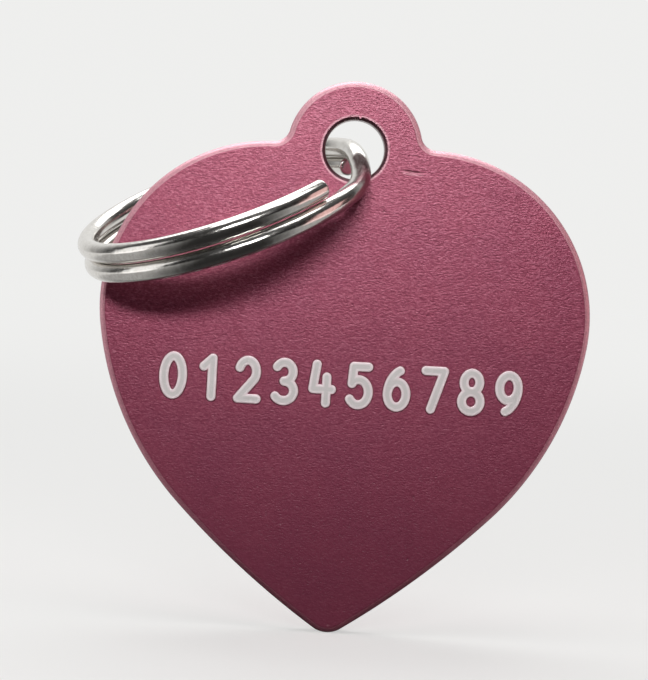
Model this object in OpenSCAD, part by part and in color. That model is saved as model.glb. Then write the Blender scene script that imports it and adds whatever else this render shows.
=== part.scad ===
// Heart-shaped pet tag of thin aluminium sheet, with a round ear, a hanging hole and a two-turn split ring.
// The plate stands upright in the XZ plane with its front towards -Y, and its back lies in the plane y = 0.
// The origin is on the back, in the middle of the heart's widest line. All sizes are in millimetres.

/* [Tag plate] */
// Width of the heart at its widest line
tag_w = 25; // [22:0.1:30]
// Depth of the tip below the widest line
tip_depth = 16.4; // [15:0.1:18]
// Thickness of the sheet
plate_t = 1.2; // [1:0.05:1.5]
// Radius of the two upper lobes
lobe_r = 8.5; // [7.5:0.1:9.5]
// Radius of the sides just below the widest line
hip_r = 16; // [14:0.5:22]
// Radius of the nearly straight lower sides
side_r = 46; // [40:1:90]
// Radius of the rounded tip
tip_r = 1.3; // [1:0.05:2.5]
// Radius of the fillets between the ear and the lobes
neck_r = 0.8; // [0.6:0.05:1.5]
// Radius of the tumbled edges of the outline
edge_r = 0.3; // [0.1:0.05:0.4]

/* [Ear and hole] */
// Height of the hole's centre above the widest line
hole_z = 8.3; // [8:0.1:9.5]
// Diameter of the hanging hole
hole_d = 3; // [2.8:0.05:3.4]
// Radius of the round ear
ear_r = 3.45; // [3.2:0.05:4.2]
// Width of the hole's broken edges
hole_break = 0.17; // [0.05:0.01:0.25]

/* [Split ring] */
// Outside diameter of the ring
ring_od = 15.4; // [14:0.1:16.5]
// Diameter of the wire
wire_d = 1; // [0.85:0.01:1.05]
// Gap between the two turns
turn_gap = 0.04; // [0.03:0.01:0.1]
// Width of the broken edges at the wire's cut ends
wire_break = 0.12; // [0.05:0.01:0.2]

/* [Ring at rest] */
// Lean of the ring's top towards the front, in degrees
ring_lean = 13.8; // [8:0.1:15]
// Turn of the wire's place in the hole, from straight below the centre towards the right, in degrees
hang_side = 22; // [0:1:30]
// Clearance between the wire and the hole, halfway through the sheet
hang_gap = 0.31; // [0.28:0.01:0.4]
// Clearance between the lower turn and the lobe that it lies against
rest_gap = 0.05; // [0.04:0.01:0.2]

/* [Hidden] */
$fn = 96;

// Facing angles say which way the outline's outer side looks: 0 is up, 90 is right and 180 is down
lobe_end = 98;
// Most that a facet of the plate's edge may lie inside its true curve
facet_error = 0.008;
// Overrun of a cutter past the face that it cuts
overrun = 0.5;

// Angles round the ring, seen from above its plane: 0 is the wire in the hole and 90 is the back.
// The upper turn ends at front_end and the lower turn ends at back_end, and the wire crosses between them.
front_end = -47;
cross_front = -28;
cross_back = 17;
back_end = 20;

ring_r = (ring_od - wire_d) / 2;
turn_pitch = wire_d + turn_gap;
// Lengths of wire stop this far short of their joint, and a thinner core runs through both
joint_gap = 0.01;
core_len_share = 0.2;

function facing(a) = [sin(a), cos(a)];
function facing_of(v) = atan2(v.x, v.y);

// The point at distance r1 from c1 and r2 from c2, to the left of the way from c1 to c2
function meet(c1, r1, c2, r2) =
    let (way = c2 - c1, far = norm(way), u = way / far, along = (r1 ^ 2 - r2 ^ 2 + far ^ 2) / (2 * far))
    c1 + along * u + sqrt(r1 ^ 2 - along ^ 2) * [-u.y, u.x];

// Centres of the right half's arcs, each tangent to the next, as [x, z]
ear_c = [0, hole_z];
lobe_c = [tag_w / 2 - lobe_r, 0];
neck_c = meet(ear_c, ear_r + neck_r, lobe_c, lobe_r + neck_r);
hip_c = lobe_c - (hip_r - lobe_r) * facing(lobe_end);
tip_c = [0, tip_r - tip_depth];
side_c = meet(tip_c, side_r - tip_r, hip_c, side_r - hip_r);

ear_end = facing_of(neck_c - ear_c);
lobe_start = facing_of(neck_c - lobe_c);
hip_end = facing_of(hip_c - side_c);
tip_start = facing_of(tip_c - side_c);

// Each arc is [centre, radius, first facing angle, last facing angle, +1 where it bulges out or -1 where it is hollow]
arcs = [
    [ear_c, ear_r, 0, ear_end, 1],
    [neck_c, neck_r, ear_end, lobe_start, -1],
    [lobe_c, lobe_r, lobe_start, lobe_end, 1],
    [hip_c, hip_r, lobe_end, hip_end, 1],
    [side_c, side_r, hip_end, tip_start, 1],
    [tip_c, tip_r, tip_start, 180, 1]
];

// The ring hangs in the hole and rests against the left lobe, with its lower turn at this depth under its middle
hang_at = ear_c + (hole_d / 2 - wire_d / 2 - hang_gap) * [sin(hang_side), -cos(hang_side)];
rest_depth = turn_pitch / 2 / cos(ring_lean) + (plate_t / 2 - edge_r) * tan(ring_lean);
rest_at = meet([-lobe_c.x, lobe_c.y], lobe_r + wire_d / 2 + rest_gap, hang_at, norm([2 * ring_r, rest_depth]));
ring_drop = atan2(hang_at.y - rest_at.y, hang_at.x - rest_at.x) - atan2(rest_depth, 2 * ring_r);

function steps_of(sweep, r) = ceil(abs(sweep) / (2 * acos(1 - facet_error / r)));

// The right half's outline from the ear's top to just before the tip, drawn in by the inset, as [x, z]
function half_outline(inset) = [
    for (arc = arcs)
        let (sweep = arc[3] - arc[2], steps = steps_of(sweep, arc[1]))
        for (i = [0 : steps - 1])
            arc[0] + (arc[4] * arc[1] - inset) * facing(arc[2] + i * sweep / steps)
];

// The whole outline, clockwise from the ear's top, at a height over the plate's back
function outline(inset, height) =
    let (right = half_outline(inset), last = len(right) - 1)
    concat(
        [for (p = right) [p.x, p.y, height]],
        [[0, inset - tip_depth, height]],
        [for (i = [last : -1 : 1]) [-right[i].x, right[i].y, height]]
    );

// The heart as one solid, lying flat with its back on z = 0 and with both rims rounded
module rounded_heart() {
    steps = steps_of(90, edge_r);
    turns = [for (i = [0 : steps]) 90 * i / steps];
    insets = [for (a = turns) edge_r * (1 - sin(a))];
    rises = [for (a = turns) edge_r * (1 - cos(a))];
    rings = concat(
        [for (i = [0 : steps]) outline(insets[i], rises[i])],
        [for (i = [steps : -1 : 0]) outline(insets[i], plate_t - rises[i])]
    );
    count = len(rings[0]);
    back_middle = len(rings) * count;
    front_first = back_middle - count;
    points = concat([for (ring = rings) each ring], [[0, 0, 0], [0, 0, plate_t]]);
    back = [for (i = [0 : count - 1]) [back_middle, (i + 1) % count, i]];
    front = [for (i = [0 : count - 1]) [back_middle + 1, front_first + i, front_first + (i + 1) % count]];
    sides = [
        for (k = [0 : len(rings) - 2])
            for (i = [0 : count - 1])
                let (a = k * count + i, b = k * count + (i + 1) % count)
                [a, b, b + count, a + count]
    ];
    polyhedron(points, concat(back, front, sides));
}

module hanging_hole() {
    translate(ear_c) {
        translate([0, 0, -overrun]) cylinder(h = plate_t + 2 * overrun, d = hole_d);
        translate([0, 0, -overrun])
            cylinder(h = overrun + hole_break, d1 = hole_d + 2 * (overrun + hole_break), d2 = hole_d);
        translate([0, 0, plate_t - hole_break])
            cylinder(h = overrun + hole_break, d1 = hole_d, d2 = hole_d + 2 * (overrun + hole_break));
    }
}

module tag_plate() {
    color([0.65, 0.33, 0.42])
        rotate([90, 0, 0])
            difference() {
                rounded_heart();
                hanging_hole();
            }
}

// A point of the wire's centre line and the direction towards larger angles there
function ring_point(a, z) = [ring_r * cos(a), ring_r * sin(a), z];
function ring_heading(a) = [-sin(a), cos(a), 0];

// A length of wire round a centre line of radius r, from angle a to angle b, a little short at both ends
module arc_wire(r, a, b) {
    short = asin(joint_gap / r);
    rotate(a + short)
        rotate_extrude(angle = b - a - 2 * short)
            translate([r, 0]) circle(d = wire_d);
}

// Wire bent in one round arc, from a point with a heading to another point
module bent_wire(from, heading, to) {
    way = to - from;
    across = way - (way * heading) * heading;
    inward = across / norm(across);
    bend_r = way * way / (2 * (way * inward));
    centre = from + bend_r * inward;
    up = cross(-inward, heading);
    multmatrix([
        [-inward.x, heading.x, up.x, centre.x],
        [-inward.y, heading.y, up.y, centre.y],
        [-inward.z, heading.z, up.z, centre.z]
    ])
        arc_wire(bend_r, 0, 2 * atan2(way * inward, way * heading));
}

module wire_core(at, heading) {
    translate(at)
        rotate([0, acos(heading.z / norm(heading)), atan2(heading.y, heading.x)])
            cylinder(h = core_len_share * wire_d, d = wire_d - 2 * joint_gap, center = true);
}

// What the broken edge of a cut end takes off, where side is 1 if that end points towards larger angles
module end_break(a, z, side) {
    wire_r = wire_d / 2;
    translate(ring_point(a, z))
        rotate(a)
            rotate([-90 * side, 0, 0])
                rotate_extrude()
                    polygon([
                        [wire_r + wire_break, -2 * wire_break],
                        [wire_r + wire_break, wire_break],
                        [wire_r - 2 * wire_break, wire_break]
                    ]);
}

// The crossover leaves the upper turn and joins the lower turn in two arcs that share a tangent
module crossover() {
    from = ring_point(cross_back, turn_pitch / 2);
    to = ring_point(cross_front, -turn_pitch / 2);
    out = -ring_heading(cross_back);
    in = -ring_heading(cross_front);
    way = to - from;
    fall = way * (out + in);
    spread = 1 - out * in;
    reach = (sqrt(fall ^ 2 + 2 * spread * (way * way)) - fall) / (2 * spread);
    middle = (from + to) / 2 + reach * (out - in) / 2;
    bent_wire(from, out, middle);
    bent_wire(to, -in, middle);
    wire_core(from, out);
    wire_core(middle, way - reach * (out + in));
    wire_core(to, in);
}

module split_ring() {
    color([0.78, 0.77, 0.75])
        translate([hang_at.x, -plate_t / 2, hang_at.y])
            rotate([0, -ring_drop, 0])
                rotate([ring_lean, 0, 0])
                    translate([-ring_r, 0, 0]) {
                        difference() {
                            translate([0, 0, turn_pitch / 2]) arc_wire(ring_r, cross_back, 360 + front_end);
                            end_break(front_end, turn_pitch / 2, 1);
                        }
                        difference() {
                            translate([0, 0, -turn_pitch / 2]) arc_wire(ring_r, back_end, 360 + cross_front);
                            end_break(back_end, -turn_pitch / 2, -1);
                        }
                        crossover();
                    }
}

tag_plate();
split_ring();
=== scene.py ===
"""Looks of a heart-shaped pet tag and its split ring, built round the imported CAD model.

Sizes are in millimetres unless a name says otherwise. Every mesh is made in metres, in the CAD frame: X to
the right, Y away from the camera and Z up, with the plate's back in the plane y = 0.
"""

import math

import bpy
import numpy as np
from mathutils import Matrix, Vector
from mathutils.geometry import tessellate_polygon

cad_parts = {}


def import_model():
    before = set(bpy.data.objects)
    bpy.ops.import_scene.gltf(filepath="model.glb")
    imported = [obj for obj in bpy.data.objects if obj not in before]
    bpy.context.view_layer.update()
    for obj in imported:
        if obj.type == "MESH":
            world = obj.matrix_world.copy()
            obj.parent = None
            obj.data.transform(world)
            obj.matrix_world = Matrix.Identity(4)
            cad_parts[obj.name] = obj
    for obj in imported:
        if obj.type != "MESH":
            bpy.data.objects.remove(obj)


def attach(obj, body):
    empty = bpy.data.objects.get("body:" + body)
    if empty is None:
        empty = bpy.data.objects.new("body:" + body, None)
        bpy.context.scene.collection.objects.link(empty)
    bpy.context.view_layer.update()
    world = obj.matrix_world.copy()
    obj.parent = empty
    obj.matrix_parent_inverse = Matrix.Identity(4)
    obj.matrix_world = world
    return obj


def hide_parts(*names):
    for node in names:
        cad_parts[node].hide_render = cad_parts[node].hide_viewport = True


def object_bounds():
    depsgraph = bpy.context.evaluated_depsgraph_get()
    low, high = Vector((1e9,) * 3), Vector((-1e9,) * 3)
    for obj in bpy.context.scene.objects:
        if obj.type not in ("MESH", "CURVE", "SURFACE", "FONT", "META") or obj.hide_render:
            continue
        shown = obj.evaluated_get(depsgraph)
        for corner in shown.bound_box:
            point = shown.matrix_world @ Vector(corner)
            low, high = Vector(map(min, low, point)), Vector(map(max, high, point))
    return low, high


MM = 0.001

# Tag plate, as in the solids
TAG_W = 25.0
TIP_DEPTH = 16.4
PLATE_T = 1.2
LOBE_R = 8.5
LOBE_END = 98.0
HIP_R = 16.0
SIDE_R = 46.0
TIP_R = 1.3
NECK_R = 0.8
EDGE_R = 0.3
EAR_R = 3.45
HOLE_Z = 8.3
HOLE_R = 1.5
HOLE_BREAK = 0.17
# Width of the paler ring round the hole's broken edge, a painted highlight
HALO = 0.12
# Edges that turn by more than this many degrees stay sharp
SHARP_ANGLE = 40.0

# Split ring, as in the solids
RING_R = 7.2
WIRE_R = 0.5
TURN_PITCH = 1.04
RING_LEAN = 13.8
HANG_SIDE = 22.0
HANG_GAP = 0.31
REST_GAP = 0.05
FRONT_END = -47.0
CROSS_FRONT = -28.0
CROSS_BACK = 17.0
BACK_END = 20.0
# Radius of the rounded edges at the wire's cut ends
WIRE_END_R = 0.15

# Row of digits on the front
DIGITS = "0123456789"
DIGIT_H = 2.42
DIGIT_W = 1.42
DIGIT_STEP = 1.9
DIGIT_STROKE = 0.47
DIGITS_Z = -3.65
DIGITS_LIFT = 0.012
# Width of the dark edge round each stroke, a painted shadow, and its lift off the front
SHADOW_EDGE = 0.05
SHADOW_EDGE_LIFT = 0.004
# Side of the square cells that the strokes are made of
MARK_CELL = 0.05

# Camera, from the photograph: its focal length is in pixels of a frame 648 pixels wide
FRAME_PX = 648
FOCAL_PX = 2040
CAMERA_AT = (-2.81, -104.78, 3.1)
CAMERA_TURN = -1.0
CAMERA_TILT = -2.5
CAMERA_ROLL = -3.4
SENSOR_W = 36.0
CLIP_NEAR = 1.0
CLIP_FAR = 10000.0

WHITE = (1.0, 1.0, 1.0)
WARM = (1.0, 0.62, 0.6)
# Softboxes as name, middle, width and height, radiance and colour. The key light is a strip above the
# direction that the plate faces, and shades it from pale at the ear to dark at the tip.
LIGHTS = [
    ("key", (-3.0, -113.0, 42.0), (48.0, 12.0), 26.5, WHITE),
    ("overhead", (-10.0, -31.0, 128.0), (120.0, 60.0), 3.8, WHITE),
    ("top", (-10.0, 62.0, 120.0), (150.0, 80.0), 3.2, WHITE),
    ("window", (-118.0, -25.0, 20.0), (70.0, 90.0), 1.2, WHITE),
    ("wall", (118.0, -28.0, 25.0), (70.0, 90.0), 1.0, WARM),
]

# Colour of the floor and backdrop as the camera sees them
PALE = (0.86, 0.86, 0.85)
# Colours of the room that metal mirrors, from straight below at 0 to straight above at 1
ROOM = [
    (0.0, (0.05, 0.04, 0.035)),
    (0.45, (0.03, 0.02, 0.018)),
    (0.52, 0.01),
    (0.72, 0.02),
    (0.84, 0.06),
    (1.0, 0.12),
]
# Half the floor's width
FLOOR_HALF = 3000.0
# Distance over which the floor's own light and shade fade into the backdrop's colour
FLOOR_FADE = 70.0

# Grains of the anodising and of the rolled sheet under it, in a millimetre along X, Y and Z
GRAIN = (7.0, 13.0, 14.0)
ROLLED = (1.8, 4.0, 5.0)
# Reliefs of the metal under the anodising and of the film on top of it
METAL_RELIEF = 0.016
FILM_RELIEF = 0.018
# Colours of the anodising: its grain; its flaws, with painted shade in the pits and painted glints on the
# specks; its worn edges with a painted highlight; a painted highlight round the hole and painted shade
# inside it; and the scratch, with painted shade in its groove and a painted highlight on its lip
PINK_DARK = (0.31, 0.035, 0.085)
PINK = (0.425, 0.059, 0.131)
PINK_LIGHT = (0.56, 0.14, 0.225)
CLOUD_TINT = (0.94, 0.93, 0.97)
PIT_SHADE = (0.16, 0.03, 0.055)
GLINT_SPECK = (0.78, 0.36, 0.44)
WORN_RIM_HIGHLIGHT = (1.0, 0.55, 0.63)
HOLE_HALO_HIGHLIGHT = (0.85, 0.5, 0.56)
HOLE_SHADE = (0.1, 0.016, 0.03)
GROOVE_SHADE = (0.19, 0.025, 0.05)
LIP_HIGHLIGHT = (0.85, 0.42, 0.5)


def facing(angle):
    """The direction on the plate at an angle from straight up towards the right, as x and z."""
    return np.array([math.sin(math.radians(angle)), math.cos(math.radians(angle))])


def facing_of(way):
    """The angle of a direction on the plate, from straight up towards the right."""
    return math.degrees(math.atan2(way[0], way[1]))


def meet(c1, r1, c2, r2):
    """The point at distance r1 from c1 and r2 from c2, to the left of the way from c1 to c2."""
    way = c2 - c1
    far = np.linalg.norm(way)
    u = way / far
    along = (r1**2 - r2**2 + far**2) / (2 * far)
    return c1 + along * u + math.sqrt(r1**2 - along**2) * np.array([-u[1], u[0]])


EAR_C = np.array([0.0, HOLE_Z])
LOBE_C = np.array([TAG_W / 2 - LOBE_R, 0.0])


def half_arcs():
    """The right half's arcs, as centre, radius, first and last facing angle, and 1 where one bulges or -1.

    Each arc is tangent to the next, from the ear's top round to the tip.
    """
    neck_c = meet(EAR_C, EAR_R + NECK_R, LOBE_C, LOBE_R + NECK_R)
    hip_c = LOBE_C - (HIP_R - LOBE_R) * facing(LOBE_END)
    tip_c = np.array([0.0, TIP_R - TIP_DEPTH])
    side_c = meet(tip_c, SIDE_R - TIP_R, hip_c, SIDE_R - HIP_R)
    ear_end = facing_of(neck_c - EAR_C)
    lobe_start = facing_of(neck_c - LOBE_C)
    hip_end = facing_of(hip_c - side_c)
    tip_start = facing_of(tip_c - side_c)
    return [
        (EAR_C, EAR_R, 0.0, ear_end, 1),
        (neck_c, NECK_R, ear_end, lobe_start, -1),
        (LOBE_C, LOBE_R, lobe_start, LOBE_END, 1),
        (hip_c, HIP_R, LOBE_END, hip_end, 1),
        (side_c, SIDE_R, hip_end, tip_start, 1),
        (tip_c, TIP_R, tip_start, 180.0, 1),
    ]


def heart_outline(inset, step=0.09, fewest=6):
    """The plate's outline drawn in by inset, clockwise from the ear's top, as rows of x and z.

    Each arc has a point every step along it, or the fewest points that it may have.
    """
    right = []
    for centre, radius, first, last, bulge in half_arcs():
        count = max(fewest, math.ceil(abs(math.radians(last - first)) * radius / step))
        for i in range(count):
            angle = first + (last - first) * i / count
            right.append(centre + (bulge * radius - inset) * facing(angle))
    tip = np.array([0.0, inset - TIP_DEPTH])
    left = [point * (-1, 1) for point in reversed(right[1:])]
    return np.array(right + [tip] + left)


def mesh_object(name, verts, faces, material, body, slot):
    """A smooth piece from vertices in millimetres, riding on a CAD body."""
    mesh = bpy.data.meshes.new(name)
    mesh.from_pydata([tuple(v) for v in np.asarray(verts, float) * MM], [], faces)
    mesh.validate()
    mesh.shade_smooth()
    piece = bpy.data.objects.new(name, mesh)
    bpy.context.scene.collection.objects.link(piece)
    piece.data.materials.append(material)
    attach(piece, body)
    return piece


def set_edge_share(piece, shares):
    """Say for each vertex how far it lies towards an edge, for the material to read."""
    edge = piece.data.attributes.new("edge_share", "FLOAT", "POINT")
    edge.data.foreach_set("value", np.array(shares, np.float32))


def loop_strip(first, second, count):
    """Faces between two closed loops of vertices that start at first and second."""
    return [
        (first + i, first + (i + 1) % count, second + (i + 1) % count, second + i)
        for i in range(count)
    ]


def rounded_edge(radius, steps):
    """Points of a quarter circle, as how far in from the outline and how far down from the flat face."""
    turn = [math.pi / 2 * i / steps for i in range(steps + 1)]
    return [(radius * (1 - math.sin(a)), radius * (1 - math.cos(a))) for a in turn]


def rim_profile(steps=8, support=0.06):
    """The outline's inset and y down the rim, from the flat front round to the flat back."""
    front = [(inset, -PLATE_T + fall) for inset, fall in rounded_edge(EDGE_R, steps)]
    back = [(inset, -PLATE_T - y) for inset, y in reversed(front)]
    return [(EDGE_R + support, -PLATE_T)] + front + back + [(EDGE_R + support, 0.0)]


def bore_profile(steps=5, support=0.05):
    """The hole's radius and y, from the flat front through the hole to the flat back."""
    front = [(HOLE_R + inset, -PLATE_T + fall) for inset, fall in rounded_edge(HOLE_BREAK, steps)]
    back = [(radius, -PLATE_T - y) for radius, y in reversed(front)]
    outer = HOLE_R + HOLE_BREAK + HALO
    near = HOLE_R + HOLE_BREAK + support
    return [(outer, -PLATE_T), (near, -PLATE_T)] + front + back + [(near, 0.0), (outer, 0.0)]


def burr(angle, depth):
    """How far the punched edge's small burr reaches into the hole at an angle, fading with depth."""
    at, half_width = 6.0, 1.7
    reach, fade = 0.1, 0.12
    return reach * math.exp(-(((angle - at) / half_width) ** 2) - (depth / fade) ** 2)


def twice_area(a, b, c):
    """Twice a flat triangle's area, above 0 where it runs counter-clockwise."""
    return (b[0] - a[0]) * (c[1] - a[1]) - (b[1] - a[1]) * (c[0] - a[0])


def flat_face(verts, outer, hole, front):
    """Triangles between an outer loop and a hole's loop, facing the front or the back."""
    no_area = 1e-12
    points = np.array(verts, float)[:, [0, 2]]
    loops = [[Vector((*points[i], 0.0)) for i in loop] for loop in (outer, hole)]
    index = outer + hole
    faces = []
    for corners in tessellate_polygon(loops):
        i, j, k = (index[corner] for corner in corners)
        turn = twice_area(points[i], points[j], points[k])
        if abs(turn) > no_area:
            faces.append((i, j, k) if (turn > 0) == front else (i, k, j))
    return faces


def plate_mesh(bore_count=360):
    """Vertices and faces of the plate, with each vertex's share of the way up the rim or into the hole.

    The share goes from 0 on the flat faces to 1 on the rim, and to -1 in the hole.
    """
    verts, faces, shares = [], [], []
    rim = rim_profile()
    count = len(heart_outline(0.0))
    for inset, y in rim:
        verts += [(x, y, z) for x, z in heart_outline(inset)]
        shares += [max(0.0, 1 - inset / EDGE_R)] * count
    for k in range(len(rim) - 1):
        faces += loop_strip(k * count, (k + 1) * count, count)
    bore_first = len(verts)
    bore = bore_profile()
    for radius, y in bore:
        shares += [-1 + (radius - HOLE_R) / (HOLE_BREAK + HALO)] * bore_count
        for i in range(bore_count):
            angle = 360.0 * i / bore_count
            wall = radius
            if y < -PLATE_T / 2:
                wall -= burr(angle if angle < 180 else angle - 360, y + PLATE_T)
            x, z = EAR_C + wall * facing(angle)
            verts.append((x, y, z))
    for k in range(len(bore) - 1):
        faces += loop_strip(bore_first + (k + 1) * bore_count, bore_first + k * bore_count, bore_count)
    front = [list(range(count)), list(range(bore_first, bore_first + bore_count))]
    back = [
        list(range((len(rim) - 1) * count, len(rim) * count)),
        list(range(bore_first + (len(bore) - 1) * bore_count, len(verts))),
    ]
    faces += flat_face(verts, *front, True)
    faces += flat_face(verts, *back, False)
    return verts, faces, shares


def wire_arc(start, heading, end, step, fewest=4):
    """Points of the round arc that leaves start with a heading and reaches end, without its last point."""
    way = end - start
    across = way - (way @ heading) * heading
    inward = across / np.linalg.norm(across)
    radius = (way @ way) / (2 * (way @ inward))
    centre = start + radius * inward
    sweep = 2 * math.atan2(way @ inward, way @ heading)
    count = max(fewest, math.ceil(sweep * radius / step))
    angles = [sweep * i / count for i in range(count)]
    return [centre + radius * (-math.cos(a) * inward + math.sin(a) * heading) for a in angles]


def ring_point(angle, z):
    """A point of the wire's centre line in the ring's own frame."""
    a = math.radians(angle)
    return np.array([RING_R * math.cos(a), RING_R * math.sin(a), z])


def ring_heading(angle):
    """The direction towards larger angles at a point of the ring."""
    a = math.radians(angle)
    return np.array([-math.sin(a), math.cos(a), 0.0])


def turn_points(first, last, z, step):
    """Points of one turn from one angle down to another, without its last point."""
    count = math.ceil(math.radians(first - last) * RING_R / step)
    return [ring_point(first + (last - first) * i / count, z) for i in range(count)]


def wire_line(step=0.12):
    """The wire's centre line in the ring's own frame, from its front end to its back end."""
    up, down = TURN_PITCH / 2, -TURN_PITCH / 2
    start, end = ring_point(CROSS_BACK, up), ring_point(CROSS_FRONT, down)
    out, into = -ring_heading(CROSS_BACK), -ring_heading(CROSS_FRONT)
    way = end - start
    fall = way @ (out + into)
    spread = 1 - out @ into
    reach = (math.sqrt(fall**2 + 2 * spread * (way @ way)) - fall) / (2 * spread)
    middle = (start + end) / 2 + reach * (out - into) / 2
    tangent = way - reach * (out + into)
    points = turn_points(360 + FRONT_END, CROSS_BACK, up, step)
    points += wire_arc(start, out, middle, step)
    points += wire_arc(middle, tangent / np.linalg.norm(tangent), end, step)
    points += turn_points(360 + CROSS_FRONT, BACK_END, down, step)
    return np.array(points + [ring_point(BACK_END, down)])


def ring_placement():
    """The matrix that hangs the ring in the hole with its lower turn against the left lobe."""
    hang_r = HOLE_R - WIRE_R - HANG_GAP
    hang = EAR_C + hang_r * np.array([1, -1]) * facing(HANG_SIDE)
    lean = math.radians(RING_LEAN)
    depth = TURN_PITCH / 2 / math.cos(lean) + (PLATE_T / 2 - EDGE_R) * math.tan(lean)
    rest = meet(LOBE_C * (-1, 1), LOBE_R + WIRE_R + REST_GAP, hang, math.hypot(2 * RING_R, depth))
    drop = math.atan2(hang[1] - rest[1], hang[0] - rest[0]) - math.atan2(depth, 2 * RING_R)
    return (
        Matrix.Translation((hang[0], -PLATE_T / 2, hang[1]))
        @ Matrix.Rotation(-drop, 4, "Y")
        @ Matrix.Rotation(lean, 4, "X")
        @ Matrix.Translation((-RING_R, 0, 0))
    )


def wire_sections(end_steps=6, end_room=1.5):
    """Centre, heading and radius of each section along the wire, rounded off at both cut ends.

    The plain sections keep clear of the cut ends by some of their edges' radii, the end room.
    """
    line = wire_line()
    headings = np.gradient(line, axis=0)
    headings /= np.linalg.norm(headings, axis=1)[:, None]
    cut_end = [(inset, WIRE_R - fall) for inset, fall in rounded_edge(WIRE_END_R, end_steps)]
    first, last = headings[0], headings[-1]
    sections = [(line[0] + inset * first, first, radius) for inset, radius in reversed(cut_end)]
    for point, heading in zip(line, headings):
        clear = min(np.linalg.norm(point - line[0]), np.linalg.norm(point - line[-1]))
        if clear > end_room * WIRE_END_R:
            sections.append((point, heading, WIRE_R))
    sections += [(line[-1] - inset * last, last, radius) for inset, radius in cut_end]
    return sections


def wire_mesh(sides=40):
    """Vertices and faces of the whole wire."""
    place = ring_placement()
    sections = wire_sections()
    verts, faces = [], []
    for point, heading, radius in sections:
        side = np.cross(heading, (0.0, 0.0, 1.0))
        side /= np.linalg.norm(side)
        up = np.cross(side, heading)
        for i in range(sides):
            a = 2 * math.pi * i / sides
            verts.append(tuple(place @ Vector(point + radius * (math.cos(a) * side + math.sin(a) * up))))
    last = (len(sections) - 1) * sides
    for first in range(0, last, sides):
        faces += loop_strip(first + sides, first, sides)
    faces.append(tuple(range(sides)))
    faces.append(tuple(reversed(range(last, last + sides))))
    return verts, faces


def arc(cx, cy, rx, ry, first, last, count=24):
    """Points of an arc in a digit's unit box, with angles from its right side, counter-clockwise."""
    angles = np.radians(np.linspace(first, last, count))
    return [(cx + rx * math.cos(a), cy + ry * math.sin(a)) for a in angles]


def digit_strokes(digit):
    """The strokes of a digit as lists of points in a unit box, with the baseline at 0."""
    six = [arc(1.0, 0.33, 1.0, 0.67, 112, 180), arc(0.5, 0.33, 0.5, 0.33, 0, 360)]
    return {
        "0": [arc(0.5, 0.5, 0.5, 0.5, 0, 360, 48)],
        "1": [[(0.12, 0.78), (0.58, 1.0), (0.58, 0.0)]],
        "2": [arc(0.48, 0.7, 0.46, 0.3, 160, -38) + [(0.0, 0.0), (1.0, 0.0)]],
        "3": [arc(0.44, 0.755, 0.46, 0.245, 150, -90), arc(0.44, 0.255, 0.54, 0.255, 90, -145)],
        "4": [[(0.16, 1.0), (0.0, 0.36), (1.0, 0.36)], [(0.72, 0.68), (0.72, 0.0)]],
        "5": [[(0.92, 1.0), (0.14, 1.0), (0.08, 0.55)] + arc(0.44, 0.33, 0.54, 0.33, 125, -145)],
        "6": six,
        "7": [[(0.0, 1.0), (1.0, 1.0), (0.36, 0.0)]],
        "8": [arc(0.5, 0.755, 0.42, 0.245, 0, 360), arc(0.5, 0.255, 0.5, 0.255, 0, 360)],
        "9": [[(1 - x, 1 - y) for x, y in stroke] for stroke in six],
    }[digit]


def nearest_on(segments, points):
    """The nearest point on any of the segments to each point, and how far away it is."""
    best = np.full(len(points), np.inf)
    nearest = np.zeros_like(points)
    for a, b in segments:
        way = b - a
        share = np.clip(((points - a) @ way) / (way @ way), 0, 1)
        foot = a + share[:, None] * way
        far = np.linalg.norm(points - foot, axis=1)
        closer = far < best
        best[closer] = far[closer]
        nearest[closer] = foot[closer]
    return nearest, best


def outer_edges(cells):
    """The edges that only one cell has, each as the pair of points that the cell runs through."""
    edges = {}
    for cell in cells:
        for a, b in zip(cell, cell[1:] + cell[:1]):
            if (b, a) in edges:
                del edges[b, a]
            else:
                edges[a, b] = True
    return list(edges)


def cell_halves(points, cell):
    """A cell's two triangles, cut along the diagonal that leaves the wider halves."""
    a, b, c, d = cell
    cuts = [((a, b, c), (a, c, d)), ((b, c, d), (b, d, a))]
    return max(cuts, key=lambda cut: min(twice_area(*points[list(half)]) for half in cut))


def stroke_cells(segments, half_width):
    """The square cells that cover rounded strokes, with their outermost points moved onto the true outline.

    They come as the grid's points, each point's distance from the strokes' middle, the cells and the edges.
    """
    ends = np.array(segments).reshape(-1, 2)
    low = ends.min(0) - half_width - MARK_CELL
    columns, rows = np.ceil((ends.max(0) + half_width + MARK_CELL - low) / MARK_CELL).astype(int) + 1
    points = low + MARK_CELL * np.array([(i, j) for j in range(rows) for i in range(columns)])
    middles = [(i + 0.5, j + 0.5) for j in range(rows - 1) for i in range(columns - 1)]
    inside = nearest_on(segments, low + MARK_CELL * np.array(middles))[1] < half_width
    corners = [j * columns + i for j, i in np.argwhere(inside.reshape(rows - 1, columns - 1))]
    cells = [(n, n + 1, n + columns + 1, n + columns) for n in corners]
    edges = outer_edges(cells)
    rim = np.array(sorted({i for edge in edges for i in edge}))
    foot, far = nearest_on(segments, points)
    points[rim] = foot[rim] + half_width * (points[rim] - foot[rim]) / far[rim][:, None]
    far[rim] = half_width
    return points, far, cells, edges


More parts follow.
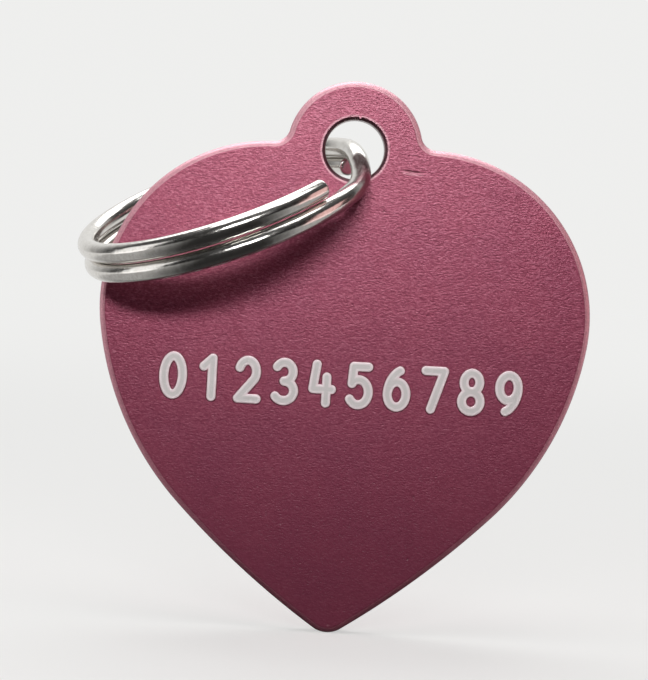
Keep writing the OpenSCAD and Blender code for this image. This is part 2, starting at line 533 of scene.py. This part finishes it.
def stroke_mesh(segments, half_width, lift):
    """Vertices and faces of a closed thin slab over rounded strokes, with each vertex's share.

    The share goes from 0 in the middle of a stroke to 1 at its edge.
    """
    points, far, cells, edges = stroke_cells(segments, half_width)
    # Points that have moved onto one place become one point
    first_at = {}
    same = {i: first_at.setdefault(tuple(points[i].round(6)), i) for i in sorted(set(sum(cells, ())))}
    cells = [tuple(same[i] for i in cell) for cell in cells]
    halves = [half for cell in cells for half in cell_halves(points, cell) if len(set(half)) == 3]
    edges = [(same[a], same[b]) for a, b in edges if same[a] != same[b]]
    used = sorted(set(same.values()))
    top = {i: n for n, i in enumerate(used)}
    bottom = {i: len(used) + n for n, i in enumerate(used)}
    levels = (-PLATE_T - lift, -PLATE_T + 2 * lift)
    verts = [(points[i][0], y, points[i][1]) for y in levels for i in used]
    faces = [tuple(top[i] for i in half) for half in halves]
    faces += [tuple(bottom[i] for i in reversed(half)) for half in halves]
    faces += [(top[b], top[a], bottom[a], bottom[b]) for a, b in edges]
    shares = [far[i] / half_width for i in used] * len(levels)
    return verts, faces, shares


def digit_row(name, half_width, lift, material):
    """The row of digits as one thin piece on the plate's front."""
    box = np.array([DIGIT_W, DIGIT_H]) - DIGIT_STROKE
    left = -DIGIT_STEP * (len(DIGITS) - 1) / 2
    verts, faces, shares = [], [], []
    for n, digit in enumerate(DIGITS):
        corner = np.array([left + n * DIGIT_STEP, DIGITS_Z]) - box / 2
        segments = []
        for stroke in digit_strokes(digit):
            line = corner + np.array(stroke) * box
            segments += zip(line[:-1], line[1:])
        new_verts, new_faces, new_shares = stroke_mesh(segments, half_width, lift)
        faces += [tuple(i + len(verts) for i in face) for face in new_faces]
        verts += new_verts
        shares += new_shares
    piece = mesh_object(name, verts, faces, material, "tag", "anodised_plate")
    set_edge_share(piece, shares)


def rgba(colour):
    """A colour with full alpha, from its red, green and blue or from one grey."""
    return (*colour, 1.0) if isinstance(colour, tuple) else (colour, colour, colour, 1.0)


class Nodes:
    """The node tree of a material or of the world, with short calls that add a node and link its inputs."""

    # Sockets of the colour mix, whose other sockets mix numbers and vectors
    MIX_A, MIX_B, MIX_RESULT = 6, 7, 2

    def __init__(self, owner):
        owner.use_nodes = True
        self.tree = owner.node_tree
        self.tree.nodes.clear()

    def add(self, kind, inputs=None, **settings):
        """A node whose inputs are each linked to another node's output or set to a plain value."""
        node = self.tree.nodes.new(kind)
        for name, value in settings.items():
            setattr(node, name, value)
        for name, value in (inputs or {}).items():
            if isinstance(value, bpy.types.NodeSocket):
                self.tree.links.new(value, node.inputs[name])
            else:
                node.inputs[name].default_value = value
        return node

    def math(self, operation, a, b=0.0):
        return self.add("ShaderNodeMath", {0: a, 1: b}, operation=operation).outputs[0]

    def plus(self, a, b):
        return self.math("ADD", a, b)

    def minus(self, a, b):
        return self.math("SUBTRACT", a, b)

    def times(self, a, b):
        return self.math("MULTIPLY", a, b)

    def over(self, a, b):
        return self.math("DIVIDE", a, b)

    def highest(self, a, b):
        return self.math("MAXIMUM", a, b)

    def blend(self, a, b, share):
        """A number between a and b, by b's share."""
        return self.plus(self.times(a, 1.0 - share), self.times(b, share))

    def remap(self, value, low, high, at_low=0.0, at_high=1.0):
        """A number that goes from at_low to at_high as the value goes from low to high, and no further."""
        inputs = {"Value": value, 1: low, 2: high, 3: at_low, 4: at_high}
        return self.add("ShaderNodeMapRange", inputs).outputs["Result"]

    def ramp(self, factor, stops):
        """A colour or grey that changes with a factor, from stops of position and colour."""
        node = self.add("ShaderNodeValToRGB", {"Fac": factor})
        elements = node.color_ramp.elements
        while len(elements) < len(stops):
            elements.new(0.5)
        for element, (position, colour) in zip(elements, stops):
            element.position = position
            element.color = rgba(colour)
        return node.outputs["Color"]

    def mix(self, factor, a, b, blend="MIX"):
        """Colour b over colour a, by a factor."""
        a, b = (rgba(c) if isinstance(c, tuple) else c for c in (a, b))
        inputs = {0: factor, self.MIX_A: a, self.MIX_B: b}
        node = self.add("ShaderNodeMix", inputs, data_type="RGBA", blend_type=blend)
        return node.outputs[self.MIX_RESULT]

    def noise(self, place, scale, detail=3.0, roughness=0.5):
        inputs = {"Vector": place, "Scale": scale, "Detail": detail, "Roughness": roughness}
        return self.add("ShaderNodeTexNoise", inputs).outputs["Fac"]

    def place(self, stretch=(1.0, 1.0, 1.0)):
        """Coordinates in millimetres, stretched along X, Y and Z."""
        where = self.add("ShaderNodeTexCoord").outputs["Object"]
        scale = tuple(s / MM for s in stretch)
        return self.add("ShaderNodeMapping", {"Vector": where, "Scale": scale}).outputs["Vector"]

    def split(self, vector):
        """The X, Y and Z of a vector, by name."""
        return self.add("ShaderNodeSeparateXYZ", {0: vector}).outputs

    def edge_share(self):
        """How far a point of the piece lies towards an edge."""
        return self.add("ShaderNodeAttribute", attribute_name="edge_share").outputs["Fac"]

    def bump(self, height, depth, strength=1.0):
        """The surface's direction where a height of 1 stands a depth proud."""
        inputs = {"Height": height, "Strength": strength, "Distance": depth * MM}
        return self.add("ShaderNodeBump", inputs).outputs["Normal"]

    def rays(self):
        """A mask of the camera's own rays, and one of the rays that metal or glass sends on."""
        path = self.add("ShaderNodeLightPath").outputs
        return path["Is Camera Ray"], self.highest(path["Is Glossy Ray"], path["Is Transmission Ray"])

    def principled(self, inputs):
        return self.add("ShaderNodeBsdfPrincipled", inputs).outputs["BSDF"]

    def finish(self, surface):
        self.add("ShaderNodeOutputMaterial", {"Surface": surface})


def scratch_masks(nodes, place):
    """A short, sagging scratch right of the hole, as a mask of painted shade in its groove and one of a
    painted highlight on the lip below it.
    """
    start, end, z = 2.35, 3.6, 7.43
    fall, sag, half_width = 0.11, 0.03, 0.085
    lip_drop = 1.5 * half_width
    at = nodes.split(place)
    share = nodes.over(nodes.minus(at["X"], start), end - start)
    middle = nodes.times(nodes.times(share, nodes.minus(1.0, share)), 4.0)
    inside = nodes.highest(nodes.math("MINIMUM", middle, 1.0), 0.0)
    inside = nodes.times(inside, nodes.math("LESS_THAN", at["Y"], -PLATE_T / 2))
    line = nodes.plus(at["Z"], nodes.times(middle, sag))
    line = nodes.plus(line, nodes.times(share, fall))
    masks = []
    for drop in (0.0, lip_drop):
        off = nodes.math("ABSOLUTE", nodes.minus(line, z - drop))
        near = nodes.highest(nodes.minus(1.0, nodes.over(off, half_width)), 0.0)
        masks.append(nodes.times(near, inside))
    return masks


def spots(nodes, place, spacing, radius, chance):
    """Round spots in some of the cells that the surface is split into, 1 in the middle of a spot."""
    inputs = {"Vector": place, "Scale": 1 / spacing, "Randomness": 1.0}
    cells = nodes.add("ShaderNodeTexVoronoi", inputs).outputs
    near = nodes.over(cells["Distance"], radius / spacing)
    spot = nodes.highest(nodes.minus(1.0, near), 0.0)
    draw = nodes.add("ShaderNodeSeparateColor", {"Color": cells["Color"]}).outputs["Red"]
    return nodes.times(spot, nodes.math("LESS_THAN", draw, chance))


def edge_masks(nodes, grain, up):
    """Masks of the worn rim with its painted highlight, paler towards the top; of a painted highlight round
    the hole's broken edge; and of painted shade inside the hole.
    """
    share = nodes.edge_share()
    wear_and_highlight = nodes.ramp(share, [(0.0, 0.0), (0.1, 0.6), (0.75, 0.7), (1.0, 0.25)])
    wear_and_highlight = nodes.times(wear_and_highlight, nodes.plus(nodes.times(grain, 0.6), 0.6))
    # Painted highlight: the rim's paler colour grows towards the top, where the light falls from above
    wear_and_highlight = nodes.times(wear_and_highlight, nodes.remap(up, -14.0, 10.0, at_low=0.35, at_high=1.35))
    depth = nodes.times(share, -1.0)
    # Painted highlight: a paler ring round the hole's broken edge
    halo_highlight = nodes.ramp(depth, [(0.0, 0.0), (0.2, 0.5), (0.38, 0.6), (0.44, 0.0)])
    # Painted shade inside the hole: the broken edge and the bore are coloured dark
    hole_shade = nodes.ramp(depth, [(0.38, 0.0), (0.46, 1.0)])
    return wear_and_highlight, halo_highlight, hole_shade


def anodised():
    """Satin pink anodising: a fine speckled grain with painted glints and painted shade in pits, a worn rim
    with a painted highlight, and painted shade in the hole.
    """
    material = bpy.data.materials.new("pink_anodising")
    nodes = Nodes(material)
    place = nodes.place()
    up = nodes.split(place)["Z"]
    grain = nodes.noise(nodes.place(GRAIN), scale=1.0, detail=2.0, roughness=0.6)
    rolled = nodes.noise(nodes.place(ROLLED), scale=1.0, detail=2.0)
    cloud = nodes.noise(place, scale=0.35, detail=2.0)
    # Pits carry painted shade: they are coloured darker than the grain round them
    shaded_pits = spots(nodes, place, spacing=1.3, radius=0.09, chance=0.3)
    # Pale specks are painted glints on the grain
    glint_specks = spots(nodes, nodes.place((1.0, 1.0, 1.1)), spacing=0.9, radius=0.08, chance=0.25)
    wear_and_highlight, halo_highlight, hole_shade = edge_masks(nodes, grain, up)
    # The scratch's groove carries painted shade and the lip below it a painted highlight
    groove_and_shade, lip_highlight = scratch_masks(nodes, place)
    # The grain is strongest at the ear and fades towards the tip; its stronger colour contrast at the top
    # is a painted glint where the key light's highlight falls
    strength = nodes.remap(up, -12.0, 10.0, at_low=0.2, at_high=1.4)

    mottle = nodes.minus(nodes.blend(grain, rolled, share=0.1), 0.5)
    mottle = nodes.plus(nodes.times(mottle, strength), 0.5)
    colour = nodes.ramp(mottle, [(0.34, PINK_DARK), (0.5, PINK), (0.66, PINK_LIGHT)])
    colour = nodes.mix(1.0, colour, nodes.ramp(cloud, [(0.35, CLOUD_TINT), (0.65, WHITE)]), "MULTIPLY")
    layers = [
        (shaded_pits, 0.6, PIT_SHADE),
        (glint_specks, 0.5, GLINT_SPECK),
        (wear_and_highlight, 1.0, WORN_RIM_HIGHLIGHT),
        (halo_highlight, 1.0, HOLE_HALO_HIGHLIGHT),
        (hole_shade, 1.0, HOLE_SHADE),
        (groove_and_shade, 1.0, GROOVE_SHADE),
        (lip_highlight, 0.7, LIP_HIGHLIGHT),
    ]
    for mask, share, paint in layers:
        colour = nodes.mix(nodes.times(mask, share), colour, paint)

    height = nodes.blend(grain, rolled, share=0.12)
    height = nodes.plus(height, nodes.times(glint_specks, 0.3))
    height = nodes.minus(height, nodes.times(nodes.highest(groove_and_shade, shaded_pits), 0.8))
    rim = nodes.ramp(nodes.edge_share(), [(0.0, 0.0), (0.12, 1.0)])
    relief = nodes.times(height, nodes.minus(1.0, nodes.times(rim, 0.85)))
    rough = nodes.plus(nodes.times(grain, 0.1), 0.435)
    shader = nodes.principled(
        {
            "Base Color": colour,
            "Metallic": nodes.minus(1.0, nodes.times(wear_and_highlight, 0.35)),
            "Roughness": nodes.plus(rough, nodes.times(rim, 0.12)),
            "Normal": nodes.bump(nodes.times(relief, strength), METAL_RELIEF),
            "Coat Weight": 1.0,
            "Coat Roughness": 0.36,
            "Coat IOR": 1.62,
            "Coat Normal": nodes.bump(relief, FILM_RELIEF),
        }
    )
    nodes.finish(shader)
    return material


def plated_wire():
    """Bright nickel plating on drawn wire, with faint waves left by winding."""
    material = bpy.data.materials.new("nickel_plating")
    nodes = Nodes(material)
    place = nodes.place()
    waves = nodes.noise(place, scale=0.9, detail=2.0)
    haze = nodes.noise(place, scale=6.0, detail=3.0, roughness=0.6)
    shader = nodes.principled(
        {
            "Base Color": nodes.ramp(haze, [(0.3, (0.66, 0.63, 0.59)), (0.7, (0.78, 0.76, 0.73))]),
            "Metallic": 1.0,
            "Roughness": nodes.plus(nodes.times(haze, 0.12), 0.13),
            "Normal": nodes.bump(waves, depth=0.05, strength=0.5),
        }
    )
    nodes.finish(shader)
    return material


def marking():
    """Pale laser marking, greyer along the middle of each stroke than at its edges."""
    material = bpy.data.materials.new("pale_marking")
    nodes = Nodes(material)
    speckle = nodes.noise(nodes.place(), scale=9.0, detail=3.0, roughness=0.6)
    across = [
        (0.3, (0.74, 0.71, 0.7)),
        (0.7, (1.0, 0.9, 0.92)),
        (0.85, (1.0, 0.86, 0.89)),
        (1.0, (0.8, 0.55, 0.6)),
    ]
    colour = nodes.ramp(nodes.edge_share(), across)
    shader = nodes.principled(
        {
            "Base Color": nodes.mix(nodes.times(speckle, 0.2), colour, (0.62, 0.56, 0.57)),
            "Metallic": 0.4,
            "Roughness": 0.5,
            "Normal": nodes.bump(speckle, depth=0.01, strength=0.4),
        }
    )
    nodes.finish(shader)
    return material


def painted_shadow_outline():
    """Anodising coloured darker along the edges of the marking, as a painted shadow round the strokes."""
    material = bpy.data.materials.new("painted_shadow_anodising")
    nodes = Nodes(material)
    speckle = nodes.noise(nodes.place(), scale=7.0, detail=3.0, roughness=0.6)
    colour = nodes.ramp(speckle, [(0.35, (0.17, 0.035, 0.06)), (0.65, (0.27, 0.07, 0.11))])
    nodes.finish(nodes.principled({"Base Color": colour, "Metallic": 0.6, "Roughness": 0.5}))
    return material


def pale_floor():
    """A pale floor that keeps shadows near the object and fades into the backdrop's colour further off.

    Metal mirrors it pale behind the object, half as pale to its sides and dim in front of it, as in a room
    with a lit backdrop.
    """
    material = bpy.data.materials.new("pale_floor")
    nodes = Nodes(material)
    place = nodes.place()
    at = nodes.split(place)
    far = nodes.add("ShaderNodeVectorMath", {0: place}, operation="LENGTH").outputs["Value"]
    soft = nodes.noise(place, scale=0.02, detail=2.0)
    colour = nodes.ramp(soft, [(0.3, (0.82, 0.81, 0.8)), (0.7, (0.85, 0.84, 0.83))])
    lit = nodes.principled({"Base Color": colour, "Roughness": 0.7})

    # How pale the floor is behind the object, aside of it and right under it
    behind = nodes.remap(at["Y"], 0.0, 40.0)
    ahead = nodes.plus(nodes.math("ABSOLUTE", at["Y"]), 15.0)
    slant = nodes.over(nodes.math("ABSOLUTE", at["X"]), ahead)
    aside = nodes.remap(slant, 0.4, 1.2, at_low=0.0, at_high=0.5)
    close = nodes.remap(far, 10.0, 28.0, at_low=0.05, at_high=0.0)
    seen, mirrored = nodes.rays()
    strength = nodes.highest(seen, nodes.highest(behind, nodes.highest(aside, close)))
    pale = nodes.add("ShaderNodeEmission", {"Color": rgba(PALE), "Strength": strength}).outputs[0]

    # How much of that pale light the camera sees, less near the object, and how much of it metal mirrors
    near = nodes.math("EXPONENT", nodes.times(far, -1 / FLOOR_FADE))
    fade = nodes.minus(1.0, nodes.times(near, 0.5))
    share = nodes.plus(nodes.times(fade, seen), nodes.times(mirrored, 0.97))
    nodes.finish(nodes.add("ShaderNodeMixShader", {0: share, 1: lit, 2: pale}).outputs[0])
    return material


def add_floor(level):
    """A plain pale floor under the tag's tip."""
    corners = [(x * FLOOR_HALF, y * FLOOR_HALF, level) for x, y in ((-1, -1), (1, -1), (1, 1), (-1, 1))]
    mesh = bpy.data.meshes.new("floor")
    mesh.from_pydata([tuple(c * MM for c in corner) for corner in corners], [], [(0, 1, 2, 3)])
    floor = bpy.data.objects.new("floor", mesh)
    floor.data.materials.append(pale_floor())
    bpy.context.scene.collection.objects.link(floor)


def add_light(name, at, size, radiance, colour):
    """A rectangular softbox that faces the middle of the tag, as bright as its radiance says."""
    light = bpy.data.lights.new(name, "AREA")
    light.shape = "RECTANGLE"
    light.size, light.size_y = (s * MM for s in size)
    light.energy = radiance * math.pi * light.size * light.size_y
    light.color = colour
    lamp = bpy.data.objects.new(name, light)
    lamp.location = Vector(at) * MM
    lamp.rotation_euler = (-Vector(at)).to_track_quat("-Z", "Y").to_euler()
    lamp.visible_camera = False
    bpy.context.scene.collection.objects.link(lamp)


def add_world():
    """Pale to the camera and behind the object, and a dim room in front with a brighter ceiling."""
    world = bpy.data.worlds.new("studio")
    bpy.context.scene.world = world
    nodes = Nodes(world)
    way = nodes.split(nodes.add("ShaderNodeTexCoord").outputs["Generated"])
    room = nodes.ramp(nodes.remap(way["Z"], -1.0, 1.0), ROOM)
    seen, mirrored = nodes.rays()
    behind = nodes.remap(way["Y"], 0.3, 0.8)
    colour = nodes.mix(nodes.times(behind, mirrored), room, PALE)
    colour = nodes.mix(seen, colour, PALE)
    sky = nodes.add("ShaderNodeBackground", {"Color": colour}).outputs[0]
    nodes.add("ShaderNodeOutputWorld", {"Surface": sky})


def add_camera():
    """The photograph's view: its place, turn from +Y, tilt, roll and focal length."""
    data = bpy.data.cameras.new("camera")
    data.sensor_fit = "HORIZONTAL"
    data.sensor_width = SENSOR_W
    data.lens = SENSOR_W * FOCAL_PX / FRAME_PX
    data.clip_start = CLIP_NEAR * MM
    data.clip_end = CLIP_FAR * MM
    camera = bpy.data.objects.new("camera", data)
    camera.matrix_world = (
        Matrix.Translation(Vector(CAMERA_AT) * MM)
        @ Matrix.Rotation(math.radians(CAMERA_TURN), 4, "Z")
        @ Matrix.Rotation(math.radians(90 + CAMERA_TILT), 4, "X")
        @ Matrix.Rotation(math.radians(-CAMERA_ROLL), 4, "Z")
    )
    bpy.context.scene.collection.objects.link(camera)
    bpy.context.scene.camera = camera


def main():
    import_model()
    cad_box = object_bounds()
    bpy.context.scene.view_settings.view_transform = "Standard"
    add_camera()
    verts, faces, shares = plate_mesh()
    plate = mesh_object("tag_plate_finished", verts, faces, anodised(), "tag", "anodised_plate")
    set_edge_share(plate, shares)
    plate.data.set_sharp_from_angle(angle=math.radians(SHARP_ANGLE))
    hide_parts("tag_plate")
    ring = mesh_object("split_ring_finished", *wire_mesh(), plated_wire(), "ring", "plated_wire")
    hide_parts("split_ring")
    digit_row("digits", DIGIT_STROKE / 2, DIGITS_LIFT, marking())
    # A dark edge round each digit, as a painted shadow
    digit_row("digits_painted_shadow_edge", DIGIT_STROKE / 2 + SHADOW_EDGE, SHADOW_EDGE_LIFT, painted_shadow_outline())
    add_floor(cad_box[0][2] / MM)
    for softbox in LIGHTS:
        add_light(*softbox)
    add_world()


main()
